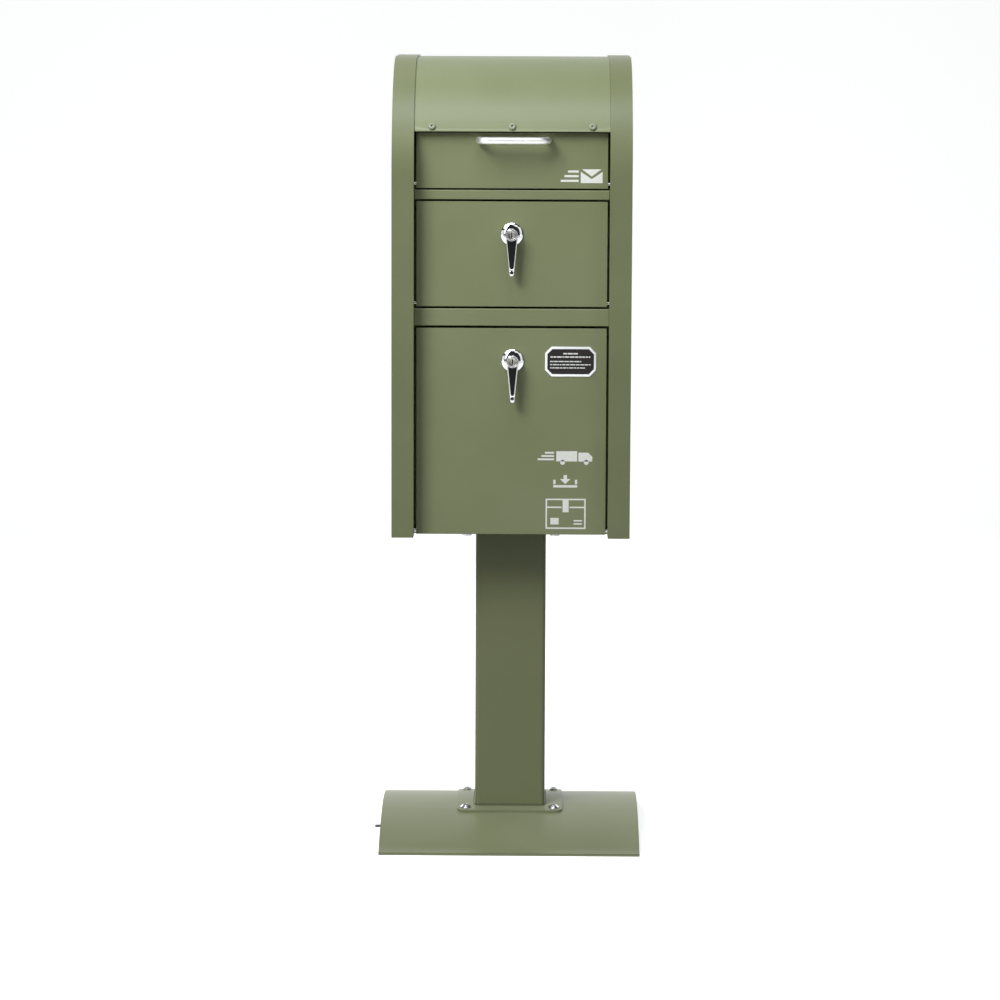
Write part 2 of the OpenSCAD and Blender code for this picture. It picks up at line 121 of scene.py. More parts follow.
def powder_coat(name, low, high, rough):
    """Polyester powder coat, sprayed dry and baked: a satin skin with faint orange peel.
    The eye gets one even sage green, broken by a soft cloudiness in tone and gloss.
    The peel of the real skin is 1 mm across; it is drawn 2.5 mm across so that it shows."""
    mat, sh = finish_of(name, IOR=1.5, Roughness=rough, Specular_IOR_Level=0.32)
    at = add(mat, "ShaderNodeTexCoord")
    cloud = add(mat, "ShaderNodeTexNoise", [("Vector", at, "Object")], Scale=7.0, Detail=3.0, Roughness=0.5)
    tone = stops(add(mat, "ShaderNodeValToRGB", [("Fac", cloud, "Fac")]), (0.35, low), (0.65, high))
    grit = add(mat, "ShaderNodeTexNoise", [("Vector", at, "Object")], Scale=900.0, Detail=1.0)
    fleck = add(mat, "ShaderNodeMapRange", [("Value", grit, "Fac")], From_Min=0.3, From_Max=0.7,
                To_Min=0.97, To_Max=1.03)
    mixed = add(mat, "ShaderNodeVectorMath", [(0, tone, "Color"), (1, fleck, "Result")], operation="MULTIPLY")
    peel = add(mat, "ShaderNodeTexNoise", [("Vector", at, "Object")], Scale=400.0, Detail=2.0, Roughness=0.45)
    gloss = add(mat, "ShaderNodeMapRange", [("Value", cloud, "Fac")], From_Min=0.3, From_Max=0.7,
                To_Min=rough - 0.03, To_Max=rough + 0.03)
    bump = add(mat, "ShaderNodeBump", [("Height", peel, "Fac")], Strength=0.10, Distance=0.0004)
    wire(mat, sh, Base_Color=(mixed, 0), Roughness=(gloss, "Result"), Normal=(bump, "Normal"))
    return mat


def plated(name, colour, rough, spread, grain):
    """Electroplated metal: one reflective colour whose gloss wanders a little,
    as handling marks and uneven plating leave it; grain is the marks' size in metres."""
    mat, sh = finish_of(name, Base_Color=srgb(colour), Metallic=1.0, Roughness=rough)
    at = add(mat, "ShaderNodeTexCoord")
    marks = add(mat, "ShaderNodeTexNoise", [("Vector", at, "Object")], Scale=1 / grain, Detail=4.0, Roughness=0.6)
    gloss = add(mat, "ShaderNodeMapRange", [("Value", marks, "Fac")], From_Min=0.3, From_Max=0.7,
                To_Min=rough - spread, To_Max=rough + spread)
    bump = add(mat, "ShaderNodeBump", [("Height", marks, "Fac")], Strength=0.05, Distance=0.0001)
    wire(mat, sh, Roughness=(gloss, "Result"), Normal=(bump, "Normal"))
    return mat


def satin_metal(name, colour, rough, stretch):
    """Metal satin-brushed along one way, then anodised or lacquered: hair lines 0.4 mm apart that
    smear the highlight across them. stretch is the Mapping scale, small along the lines."""
    mat, sh = finish_of(name, Base_Color=srgb(colour), Metallic=1.0, Roughness=rough)
    at = add(mat, "ShaderNodeTexCoord")
    lay = add(mat, "ShaderNodeMapping", [("Vector", at, "Object")], Scale=stretch)
    hair = add(mat, "ShaderNodeTexNoise", [("Vector", lay, "Vector")], Scale=2500.0, Detail=3.0)
    gloss = add(mat, "ShaderNodeMapRange", [("Value", hair, "Fac")], From_Min=0.3, From_Max=0.7,
                To_Min=rough - 0.07, To_Max=rough + 0.07)
    bump = add(mat, "ShaderNodeBump", [("Height", hair, "Fac")], Strength=0.12, Distance=0.0001)
    wire(mat, sh, Roughness=(gloss, "Result"), Normal=(bump, "Normal"))
    return mat


def moulded(name, colour, rough, grain, depth):
    """Moulded plastic or rubber with an eroded grain: matt black that lifts a little in the light."""
    mat, sh = finish_of(name, Base_Color=srgb(colour), Roughness=rough, Specular_IOR_Level=0.2)
    at = add(mat, "ShaderNodeTexCoord")
    skin = add(mat, "ShaderNodeTexNoise", [("Vector", at, "Object")], Scale=1 / grain, Detail=2.0)
    gloss = add(mat, "ShaderNodeMapRange", [("Value", skin, "Fac")], To_Min=rough - 0.08, To_Max=rough + 0.08)
    bump = add(mat, "ShaderNodeBump", [("Height", skin, "Fac")], Strength=0.25, Distance=depth)
    wire(mat, sh, Roughness=(gloss, "Result"), Normal=(bump, "Normal"))
    return mat


def printed_ink(name, low, high, rough):
    """Screen-printed ink: a flat opaque film whose cover is slightly uneven."""
    mat, sh = finish_of(name, Roughness=rough)
    at = add(mat, "ShaderNodeTexCoord")
    cover = add(mat, "ShaderNodeTexNoise", [("Vector", at, "Object")], Scale=700.0, Detail=2.0)
    tone = stops(add(mat, "ShaderNodeValToRGB", [("Fac", cover, "Fac")]), (0.3, low), (0.7, high))
    bump = add(mat, "ShaderNodeBump", [("Height", cover, "Fac")], Strength=0.08, Distance=0.0001)
    wire(mat, sh, Base_Color=(tone, "Color"), Normal=(bump, "Normal"))
    return mat


finishes = {
    "powder_coat": powder_coat("sage powder coat", "#7E8560", "#838A66", 0.40),
    "powder_coat_base": powder_coat("sage powder coat on plate", "#7B805F", "#808566", 0.32),
    # painted shade: the weld's coat is darker, for the shade in the narrow gap where the post meets the flange
    "weld": powder_coat("dusty powder coat in the weld's toe", "#444930", "#4E5337", 0.65),
    "zinc_steel": plated("bright zinc plate", "#C4C6C5", 0.30, 0.10, 0.004),
    # a dark grey for the galvanised strip by the base, darker than the bright zinc
    "zinc_dark": plated("dark galvanised strip", "#5C5D59", 0.50, 0.12, 0.006),
    "chrome": plated("polished chrome plate", "#E2E4E6", 0.07, 0.03, 0.006),
    "satin_aluminium": satin_metal("satin anodised aluminium", "#F0F0EC", 0.46, (0.05, 1.0, 1.0)),
    "black_plastic": moulded("black acetal insert", "#09090A", 0.50, 0.0006, 0.0001),
    "rubber_black": moulded("black rubber", "#1A1A1A", 0.8, 0.0008, 0.0002),
    "plate_face": satin_metal("satin aluminium plate", "#EEEFF0", 0.58, (0.05, 1.0, 1.0)),
}
# A tone darker than the doors, for the casings and the post; on the post this is painted shade of the box above.
casing_paint = powder_coat("sage powder coat a tone darker", "#737956", "#787E5B", 0.40)
# lighter and glossier than the hood's sage: the lighter tone is a painted highlight, the ring of light on the
# heads' domes
screw_highlight_paint = powder_coat("sage enamel lightened as painted highlight on screw heads", "#899074", "#91987E", 0.22)
plug_metal = satin_metal("turned nickel silver", "#B9B7B2", 0.25, (1.0, 0.1, 1.0))
plate_ink = printed_ink("etched black enamel", "#100A09", "#19110F", 0.40)
white_ink = printed_ink("white screen ink", "#E9ECE2", "#F4F6EE", 0.45)
shadow_black = moulded("painted keyway shade", "#050505", 0.7, 0.0008, 0.0001)

# ---------------------------------------------------------------- mesh makers


def grid(P, wrap_u=False, wrap_v=False, cap=False):
    """Vertices and quads of a surface sampled on a (u, v) grid P of shape (nu, nv, 3); wrap closes
    a direction, and cap closes the first and last u ring with one face each."""
    P = np.asarray(P, float)
    nu, nv = P.shape[:2]
    u = np.arange(nu if wrap_u else nu - 1)
    v = np.arange(nv if wrap_v else nv - 1)
    a = (u[:, None] * nv + v).ravel()
    b = (u[:, None] * nv + (v + 1) % nv).ravel()
    c = (((u + 1) % nu)[:, None] * nv + (v + 1) % nv).ravel()
    d = (((u + 1) % nu)[:, None] * nv + v).ravel()
    faces = np.stack([a, b, c, d], 1).tolist()
    if cap:
        faces += [list(range(nv))[::-1], list(range((nu - 1) * nv, nu * nv))]
    return P.reshape(-1, 3), faces


def piece(name, parts, mat, body, stands_for=(), sharp=40, bevel=0, levels=0):
    """Joins grids into one object, merges seams and poles, turns faces out, shades it smooth up to
    the sharp angle and lets it ride on its body."""
    verts, faces, shift = [], [], 0
    for v, f in parts:
        verts.append(v)
        faces += [[i + shift for i in face] for face in f]
        shift += len(v)
    mesh = bpy.data.meshes.new(name)
    mesh.from_pydata(np.concatenate(verts).tolist(), [], faces)
    bm = bmesh.new()
    bm.from_mesh(mesh)
    bmesh.ops.remove_doubles(bm, verts=bm.verts, dist=2e-6)
    bmesh.ops.dissolve_degenerate(bm, edges=bm.edges, dist=1e-7)
    bmesh.ops.recalc_face_normals(bm, faces=bm.faces)
    bm.to_mesh(mesh)
    bm.free()
    return dress(name, mesh, mat, body, stands_for, sharp, bevel, levels)


def dress(name, mesh, mat, body, stands_for=(), sharp=40, bevel=0, levels=0):
    """Makes the object for a mesh: material, smooth shading, optional bevel and subdivision, body."""
    mesh.materials.clear()
    mesh.materials.append(mat)
    mesh.shade_smooth()
    mesh.set_sharp_from_angle(angle=math.radians(sharp))
    o = bpy.data.objects.new(name, mesh)
    scene.collection.objects.link(o)
    if bevel:
        m = o.modifiers.new("edge", "BEVEL")
        m.width, m.segments, m.limit_method = bevel, 3, "ANGLE"
        m.angle_limit, m.harden_normals = math.radians(35), True
    if levels:
        m = o.modifiers.new("smooth", "SUBSURF")
        m.levels = m.render_levels = levels
    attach(o, body)
    if stands_for:
        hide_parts(*stands_for)
    return o


def folded(node, bevel, mat=None, cut=None):
    """A CAD node's own shape with its flat triangles merged back into faces and every edge given
    the small radius that folding, casting or plating leaves. In folded sheet only the outer folds,
    convex edges between two wide faces, take that radius, and cut is the radius of the rest."""
    src = frame["nodes"][node].data
    mesh = src.copy()
    bm = bmesh.new()
    bm.from_mesh(mesh)
    bmesh.ops.remove_doubles(bm, verts=bm.verts, dist=5e-6)
    bmesh.ops.dissolve_limit(bm, angle_limit=math.radians(0.4), verts=bm.verts, edges=bm.edges)
    if cut:
        share = bm.edges.layers.float.new("bevel_weight_edge")
        bends = [e for e in bm.edges if len(e.link_faces) == 2 and e.calc_face_angle() > math.radians(35)]
        for e in bends:
            wide = min(f.calc_area() for f in e.link_faces) > 5 * mm * e.calc_length()
            e[share] = 1.0 if wide and e.calc_face_angle_signed() > 0 else cut / bevel
    bm.to_mesh(mesh)
    bm.free()
    slot = slot_of_node[node]
    o = dress(node + "_skin", mesh, mat or finishes[slot], body_of_node[node], [node], 30, bevel)
    if cut:
        o.modifiers["edge"].limit_method = "WEIGHT"


front = np.array([0.0, -1.0, 0.0])
above = np.array([0.0, 0.0, 1.0])
around = np.linspace(0, 2 * np.pi, 72, endpoint=False)


def stacked(rows, centre, out=front, up=above, wrap=False):
    """Outline rings joined row to row: a row is (outline, height), and its point (a, b) goes to
    centre + a * side + b * up + height * out, in millimetres. The ends are closed by a face each,
    or wrap joins the last ring to the first."""
    side = np.cross(up, out)
    P = np.stack([a[:, :1] * side + a[:, 1:] * up + np.reshape(h, (-1, 1)) * out for a, h in rows])
    return grid(np.asarray(centre) + P * mm, wrap_v=True, wrap_u=wrap, cap=not wrap)


def circle(r):
    """r (cos t, sin t) once round."""
    return r * np.stack([np.cos(around), np.sin(around)], 1)


def turned(profile, centre, out=front, up=above, wrap=False):
    """Surface of revolution about out: profile rows are (radius, height) in millimetres."""
    return stacked([(circle(r), h) for r, h in profile], centre, out, up, wrap)


def bend(r, a0, a1, cr, ch, n=6):
    """Rows (cr + r cos t, ch + r sin t) of a profile's round corner, t from a0 to a1 degrees."""
    t = np.radians(np.linspace(a0, a1, n))
    return np.stack([cr + r * np.cos(t), ch + r * np.sin(t)], 1).tolist()


def hexagon(r):
    """Radius r cos 30 / cos(angle from the nearest flat's middle)."""
    fold = (around + np.pi / 6) % (np.pi / 3) - np.pi / 6
    return circle(1.0) * (r * math.cos(np.pi / 6) / np.cos(np.abs(fold) - np.pi / 6))[:, None]


def cross_mark(arm, half):
    """Plus sign: arms reach arm from the middle and are 2 * half wide."""
    fold = np.abs((around + np.pi / 4) % (np.pi / 2) - np.pi / 4)
    return circle(1.0) * np.minimum(arm / np.cos(fold), half / np.maximum(np.sin(fold), 1e-6))[:, None]


def rounded_box(w, h, power=0.25):
    """Superellipse with half sides w and h: each axis is its cosine or sine to a small power."""
    c, s = np.cos(around), np.sin(around)
    return np.stack([w * np.sign(c) * np.abs(c) ** power, h * np.sign(s) * np.abs(s) ** power], 1)


def cut_corners(w, h, c):
    """Rectangle of half sides w and h with its corners cut by c."""
    upper = np.array([[w, h - c], [w - c, h], [c - w, h], [-w, h - c]])
    return np.concatenate([upper, -upper])


def tube(path, radius, level, n=20):
    """Round bar along a path in metres: rings of radius metres square to the tangent, with level a
    direction that the tangent never takes."""
    path = np.asarray(path, float)
    t = np.gradient(path, axis=0)
    t /= np.linalg.norm(t, axis=1)[:, None]
    e1 = np.cross(level, t)
    e1 /= np.linalg.norm(e1, axis=1)[:, None]
    e2 = np.cross(t, e1)
    a = np.linspace(0, 2 * np.pi, n, endpoint=False)[None, :, None]
    r = np.broadcast_to(np.asarray(radius, float), len(path))[:, None, None]
    return grid(path[:, None] + r * (np.cos(a) * e1[:, None] + np.sin(a) * e2[:, None]), wrap_v=True, cap=True)


# ---------------------------------------------------------------- sheet and plate pieces

edge_radius = {  # millimetres that folding, cutting or plating leaves on each node's edges
    "base_plate": 0.8, "anchor_tab": 0.4, "foot_flange": 0.8, "foot_washers": 0.3, "post_tube": 0.8,
    "top_flange": 0.8, "top_bolts": 0.5, "floor_panel": 0.3, "side_casing_left": 1.2, "side_casing_right": 1.2,
    "back_panel": 0.4, "divider_shelf": 0.3, "upper_rail": 1.4, "lower_rail": 1.4, "jamb_left": 0.3,
    "jamb_right": 0.3, "hood": 0.6, "hood_stiffener": 0.3, "letter_flap_pins": 0.4, "mail_door_pins": 0.4,
    "parcel_door_pins": 0.4, "letter_flap_panel": 1.4, "bow_handle_screws": 0.4, "mail_door_panel": 1.4,
    "parcel_door_panel": 1.4, "mail_lock_cam": 0.4, "parcel_lock_cam": 0.4,
}
panned = {"letter_flap_panel", "mail_door_panel", "parcel_door_panel", "upper_rail", "lower_rail"}
darker_toned = {"side_casing_left", "side_casing_right", "post_tube"}  # the casings and the post take a tone darker than the doors; on the post it is painted shade of the box above it
for node, radius in edge_radius.items():
    folded(node, radius * mm, casing_paint if node in darker_toned else None,
           0.25 * mm if node in panned else None)

# ---------------------------------------------------------------- foot: weld bead and bolts

arch_hi = corner("base_plate")[1]
arch_r = (arch_hi[1] ** 2 + arch_hi[2] ** 2) / (2 * arch_hi[2])  # radius of the arched plate's top
arch_c = arch_hi[2] - arch_r
flange_t = corner("foot_flange")[1][2] - arch_hi[2]
flange_r = arch_r + flange_t


def weld_bead(name):
    """Low bead round the post: a rounded square walked once, with a quarter round of leg 2.4 mm
    carried round it whose size swells by a tenth every 3 mm, standing on the flange's arch."""
    half, r, leg = corner("post_tube")[1][0] / mm, 6.0, 2.4
    ripple, wander = 3.0, 41.0  # millimetres along the bead from one swell to the next
    t = np.linspace(0, 2 * np.pi, 480, endpoint=False)
    c, s = np.cos(t), np.sin(t)
    core = np.stack([np.clip(c * 1.6, -1, 1), np.clip(s * 1.6, -1, 1)], 1) * (half - r)
    nrm = np.where(np.abs(core) >= half - r - 1e-9, np.stack([c, s], 1), 0)
    nrm /= np.linalg.norm(nrm, axis=1)[:, None]
    base = core + nrm * r
    step = np.linalg.norm(np.roll(base, -1, 0) - base, axis=1)
    run = np.concatenate([[0], np.cumsum(step)[:-1]])
    swell = 1 + 0.06 * np.sin(2 * np.pi * run / ripple) + 0.05 * np.sin(2 * np.pi * run / wander)
    q = np.radians(np.linspace(0, 90, 9))[:, None]
    away = leg * (1 - np.sin(q) ** 1.5) * swell
    rise = leg * (1 - np.cos(q) ** 1.5) * swell * 1.05
    away = np.concatenate([away, [-0.6 + 0 * t], [-0.6 + 0 * t]])
    rise = np.concatenate([rise, rise[-1:], [-1.0 + 0 * t]])
    x = base[:, 0] + nrm[:, 0] * away
    y = base[:, 1] + nrm[:, 1] * away
    z = (arch_c + np.sqrt(flange_r**2 - (y * mm) ** 2)) / mm + rise
    P = np.stack([x, y, z], -1) * mm
    piece(name, [grid(P, wrap_v=True, wrap_u=True)], finishes["weld"], "body",
          ["foot_weld"], 60)


weld_bead("foot_weld_bead")

bolt_x = corner("foot_bolts")[1][0] - 7.2 * mm  # the heads' radius is 7.2 mm
bolt_tilt = math.asin(58 * mm / flange_r)  # the bolts stand 58 mm before and behind the post's axis
heads, nuts = [], []
for sx in (-1, 1):
    for sy in (-1, 1):
        up_arch = np.array([0, sy * math.sin(bolt_tilt), math.cos(bolt_tilt)])
        along = np.array([1.0, 0, 0])
        seat = np.array([sx * bolt_x, 0, arch_c]) + flange_r * up_arch
        slot_cut = cross_mark(3.3, 0.8)
        dome = [(math.sqrt(10.3**2 - (h + 6.2) ** 2), h) for h in (3.3, 2.8, 2.2, 1.6, 1.1)]
        rows = [(slot_cut * 0.7, 1.4), (slot_cut, 3.6), (slot_cut * 0.5 + circle(1.9), 3.95)]
        dome += [(7.0, 0.7), (7.15, 0.45), (7.15, 0.1), (4.0, 0.05), (4.0, -16.8)]
        rows += [(circle(r), h) for r, h in dome]
        heads.append(stacked(rows, seat, up_arch, along))
        rows = [(circle(4.02), -8.4), (circle(5.6), -8.4), (hexagon(6.9), -8.4), (hexagon(7.4), -8.0),
                (hexagon(7.4), -2.3), (hexagon(6.9), -1.9), (circle(4.02), -1.9)]
        nuts.append(stacked(rows, seat - (flange_t + 3.2 * mm) * up_arch, up_arch, along, wrap=True))
piece("foot_bolts_set", heads, finishes["zinc_steel"], "body", ["foot_bolts"], 35)
piece("foot_nuts_set", nuts, finishes["zinc_steel"], "body", ["foot_nuts"], 25)

caps_z = corner("top_cap_nuts")[0][2]
caps = []
for sx in (-1, 1):
    for sy in (-1, 1):
        at = np.array([sx * bolt_x, sy * bolt_x, caps_z])
        rows = [(circle(4.02), 0), (hexagon(6.9), 0), (hexagon(7.4), 0.4), (hexagon(7.4), 5.4),
                (hexagon(6.8), 6.0)]
        rows += [(circle(r), h) for r, h in bend(6.2, 0, 80, 0, 8, 9)]
        caps.append(stacked(rows, at, above, np.array([1.0, 0, 0])))
piece("cap_nuts_set", caps, finishes["zinc_steel"], "body", ["top_cap_nuts"], 30)

# ---------------------------------------------------------------- hood screws and door bumpers

hood_r = 159 * mm
casing_front = corner("side_casing_left")[0][1]  # the casings stand 2 mm proud of the hood
hood_axis = np.array([0, casing_front + 2 * mm + hood_r, corner("hood")[1][2] - hood_r])
screw_x = corner("hood_screws")[1][0] - 5.2 * mm  # the heads' radius is 5.2 mm
screw_z = 1025.5 * mm
lean = math.asin((screw_z - hood_axis[2]) / hood_r)
away = np.array([0, -math.cos(lean), math.sin(lean)])
uphill = np.array([0, math.sin(lean), math.cos(lean)])
screws = []
for k in (-1, 0, 1):
    seat = hood_axis + hood_r * away + [k * screw_x, 0, 0]
    rows = [(hexagon(1.2), 1.0), (hexagon(1.75), 1.3), (hexagon(1.75), 2.75), (circle(2.2), 2.95)]
    rows += [(circle(r), h) for r, h in [(3.2, 2.95), (4.0, 2.8), (4.6, 2.45), (5.0, 1.9), (5.2, 1.2),
                                         (5.2, 0.4), (5.1, 0.12), (2.5, 0.1), (2.5, -11)]]
    screws.append(stacked(rows, seat, away, uphill))
piece("hood_screws_set", screws, screw_highlight_paint, "body", ["hood_screws"], 40)

pad_lo, pad_hi = corner("door_bumpers")
pads = []
for px in (pad_lo[0] + 4 * mm, pad_hi[0] - 4 * mm):
    for pz in (pad_lo[2] + 4 * mm, pad_hi[2] - 4 * mm):
        pads.append(turned([(0.5, 1.0), (2.9, 1.0), (3.5, 0.85), (3.9, 0.5), (4.0, 0.1), (4.0, 0.0)],
                           [px, pad_hi[1], pz]))
piece("door_bumpers_set", pads, finishes["rubber_black"], "body", ["door_bumpers"], 50)

# ---------------------------------------------------------------- bow handle and flap springs

bow_lo, bow_hi = corner("bow_handle")
bow_r = 5 * mm
bow_bend = 14 * mm
q = np.radians(np.linspace(0, 90, 16))
bar_y = bow_lo[1] + bow_r
left_end, right_end = bow_lo[0] + bow_r, bow_hi[0] - bow_r
leg_y = np.linspace(bow_hi[1], bar_y + bow_bend, 8)[:-1]
half = np.concatenate([
    np.stack([left_end + 0 * leg_y, leg_y], 1),
    np.stack([left_end + bow_bend * (1 - np.cos(q)), bar_y + bow_bend * (1 - np.sin(q))], 1),
    np.stack([np.linspace(left_end + bow_bend, (left_end + right_end) / 2, 14)[1:], bar_y + np.zeros(13)], 1)])
plan = np.concatenate([half, (half[:-1] * [-1, 1] + [left_end + right_end, 0])[::-1]])
path = np.column_stack([plan, np.full(len(plan), (bow_lo[2] + bow_hi[2]) / 2)])
girth = np.full(len(path), bow_r)
girth[[0, -1]] -= 0.5 * mm
piece("bow_handle_bar", [tube(path, girth, above, 32)], finishes["satin_aluminium"], "letter_flap",
      ["bow_handle"], 50)


def flap_spring(sign):
    """Torsion spring of 0.9 mm wire: a leg runs down to the coil, seven turns of a helix about the
    flap's pin, then a leg to the back; each turn steps 1 mm inward."""
    axis = joint_at["letter_flap_hinge"] + [sign * 131.3 * mm, 0, 0]
    r = 3.25
    a = np.linspace(np.pi, np.pi * 15.5, 420)
    turn_x = (a - np.pi) / (2 * np.pi)
    coil = np.stack([-sign * (1 + turn_x), r * np.cos(a), r * np.sin(a)], 1)
    drop = np.linspace(28, 0.5, 20)
    first = np.stack([-sign + 0 * drop, -r + 0 * drop, drop], 1)
    back = np.linspace(0.6, 12, 10)
    last = np.stack([coil[-1, 0] + 0 * back, coil[-1, 1] + back, coil[-1, 2] + 0 * back], 1)
    return tube(axis + np.concatenate([first, coil, last]) * mm, 0.45 * mm, [1.0, 0, 0], 10)


piece("letter_flap_spring_coils", [flap_spring(-1), flap_spring(1)], finishes["zinc_steel"], "letter_flap",
      ["letter_flap_springs"], 60)

# ---------------------------------------------------------------- locks


def tapered(r1, r2, length, inset=0.0):
    """Belt line round a big circle at the middle and a small one length below it, drawn in by inset:
    two arcs and the two straight flanks that touch both, with each point's nearest spine point."""
    b = math.asin((r1 - r2) / length)
    big = np.linspace(-b, np.pi + b, 40)
    small = np.linspace(np.pi + b, 2 * np.pi - b, 25)
    t = np.linspace(0, 1, 66)[1:-1]
    spine = np.concatenate([0 * big, t, 0 * small + 1, t[::-1]])
    angle = np.concatenate([big, 0 * t + np.pi + b, small, 0 * t - b])
    r = r1 + (r2 - r1) * spine - inset
    core = np.stack([0 * spine, -length * spine], 1)
    return core, core + r[:, None] * np.stack([np.cos(angle), np.sin(angle)], 1)


def lever(name, at, on, nodes):
    """Cast lever: the belt line of an 8.7 mm hub and a 3.4 mm tip, with round edges, crowned 0.3 mm
    across its face and dipped by a bell curve above the tip; plus hub, spindle and its square."""
    length, dip_at = 54.6, -49.7
    rows = []
    for inset, h in [(1.2, 10.4), (0.4, 10.7), (0, 11.3), (0, 17.2), (0.2, 17.8), (0.6, 18.2), (1.1, 18.4)]:
        rows.append((tapered(8.7, 3.4, length, inset)[1], h))
    core, rim = tapered(8.7, 3.4, length, 1.1)
    for k in (0.85, 0.65, 0.4, 0.2, 0.0):
        face = core + k * (rim - core)
        dip = 1.3 * np.exp(-(((face[:, 1] - dip_at) / 1.5) ** 2))
        under_plug = np.hypot(face[:, 0], face[:, 1]) < 7.3
        rows.append((face, np.where(under_plug, 10.5, 18.4 + 0.3 * (1 - k * k) - dip)))
    side = np.cross(above, front)
    P = np.stack([a[:, :1] * side + a[:, 1:] * above + np.reshape(h + 0 * a[:, 0], (-1, 1)) * front
                  for a, h in rows])
    arm = grid(np.asarray(at) + P * mm, wrap_v=True)
    back = (arm[0], [list(range(P.shape[1]))[::-1]])
    hub = [(0.5, 5.4)] + [(8.0, 5.4), (8.5, 5.6), (8.7, 6.1), (8.7, 18.6)] + bend(0.7, 0, 90, 8.0, 18.7, 6)
    hub += [(7.5, 19.35), (7.15, 19.1), (7.05, 18.6), (7.05, 7.4), (0.5, 7.4)]
    parts = [arm, back, turned(hub, at)]
    parts.append(turned([(5.6, -21.0), (6.0, -20.6), (6.0, 6.0), (0.5, 6.0)], at))
    parts.append(stacked([(rounded_box(4, 4, 0.08), -24.4), (rounded_box(4, 4, 0.08), -20.4)], at))
    piece(name, parts, finishes["chrome"], on, nodes, 50)


def lock_set(which, on_door, on_lever, on_key):
    """One lock on its axis: rose and threaded barrel, nut, lever, insert, plug, cam screw."""
    lo, hi = corner(which + "_lock_body")
    at = np.array([(lo[0] + hi[0]) / 2, face_y, (lo[2] + hi[2]) / 2])
    dish = bend(1.0, 0, 55, 15.0, 1.3, 6) + [(14.6, 2.75), (13.2, 3.6), (11.6, 4.2), (10.0, 4.6), (8.9, 4.85)]
    rose = [(6.05, -16.9), (8.7, -16.9)]
    for k in range(20):  # thread: a ridge every 0.8 mm
        rose += [(9.3, -16.4 + 0.8 * k), (8.85, -16.0 + 0.8 * k)]
    rose += [(9.3, -0.4), (9.3, 0.05), (15.6, 0.05), (16.0, 0.4)] + dish + [(6.05, 4.9)]
    piece(which + "_rose", [turned(rose, at, wrap=True)], finishes["chrome"], on_door,
          [which + "_lock_body"], 50)
    nut = [(circle(9.34), -1.6), (circle(11.0), -1.6), (hexagon(12.6), -1.6), (hexagon(13.5), -2.1),
           (hexagon(13.5), -5.1), (hexagon(12.6), -5.6), (circle(9.34), -5.6)]
    piece(which + "_nut", [stacked(nut, at, wrap=True)], finishes["zinc_steel"], on_door,
          [which + "_lock_nut"], 25)
    lever(which + "_lever_casting", at, on_lever, [which + "_lever"])
    wedge = np.array([[-6.2, -7.0], [6.2, -7.0], [2.0, -48.0], [-2.0, -48.0]])
    crown = [(wedge, 17.6), (wedge, 18.6), (wedge * [0.94, 1.0] + [0, -0.1], 18.85), (wedge * [0.5, 0.99], 19.0)]
    piece(which + "_lever_insert", [stacked(crown, at)], finishes["black_plastic"], on_lever,
          [which + "_lever_inlay"], 40, 0.12 * mm)
    keyway = rounded_box(0.9, 4.0, 0.35)
    plug = [(keyway, 12.0), (keyway, 19.6), (rounded_box(1.15, 4.25, 0.35), 19.75), (circle(4.9), 19.95)]
    plug += [(circle(r), h) for r, h in [(5.3, 20.0), (5.5, 19.7), (5.75, 19.7), (5.95, 20.05), (6.3, 20.15),
                                         (6.7, 19.95), (6.95, 19.6), (7.0, 19.2), (7.0, 7.7)]]
    piece(which + "_plug", [stacked(plug, at)], plug_metal, on_key, [which + "_key_plug"], 50)
    # a black plug sunk in the keyway below its mouth: painted shade of the hole
    piece(which + "_keyway", [stacked([(keyway * 0.98, 11.0), (keyway * 0.98, 17.5)], at)], shadow_black, on_key,
          (), 50)
    cam_back = corner(which + "_lock_cam")[1][1]
    screw = [(circle(2.0), 9.0), (circle(2.0), -0.1), (circle(6.5), -0.1), (circle(6.5), -0.8), (circle(6.1), -1.1),
             (hexagon(4.6), -1.1), (hexagon(4.6), -3.6), (hexagon(4.2), -4.1)]
    piece(which + "_cam_bolt", [stacked(screw, [at[0], cam_back, at[2]])], finishes["zinc_steel"], on_lever,
          [which + "_cam_screw"], 30)


lock_set("mail", "mail_door", "mail_lever", "mail_key_plug")
lock_set("parcel", "parcel_door", "parcel_lever", "parcel_key_plug")

# ---------------------------------------------------------------- notice plate: frame, field, bars

plate_lo, plate_hi = corner("notice_plate")
mid = np.array([(plate_lo[0] + plate_hi[0]) / 2, face_y, (plate_lo[2] + plate_hi[2]) / 2])
w, h = (plate_hi[0] - plate_lo[0]) / 2 / mm, (plate_hi[2] - plate_lo[2]) / 2 / mm
plate_cut = 9.0


def octagon(inset):
    """The plate's outline drawn in by inset: its cut shrinks by (2 - root 2) of the inset."""
    return cut_corners(w - inset, h - inset, plate_cut - (2 - math.sqrt(2)) * inset)


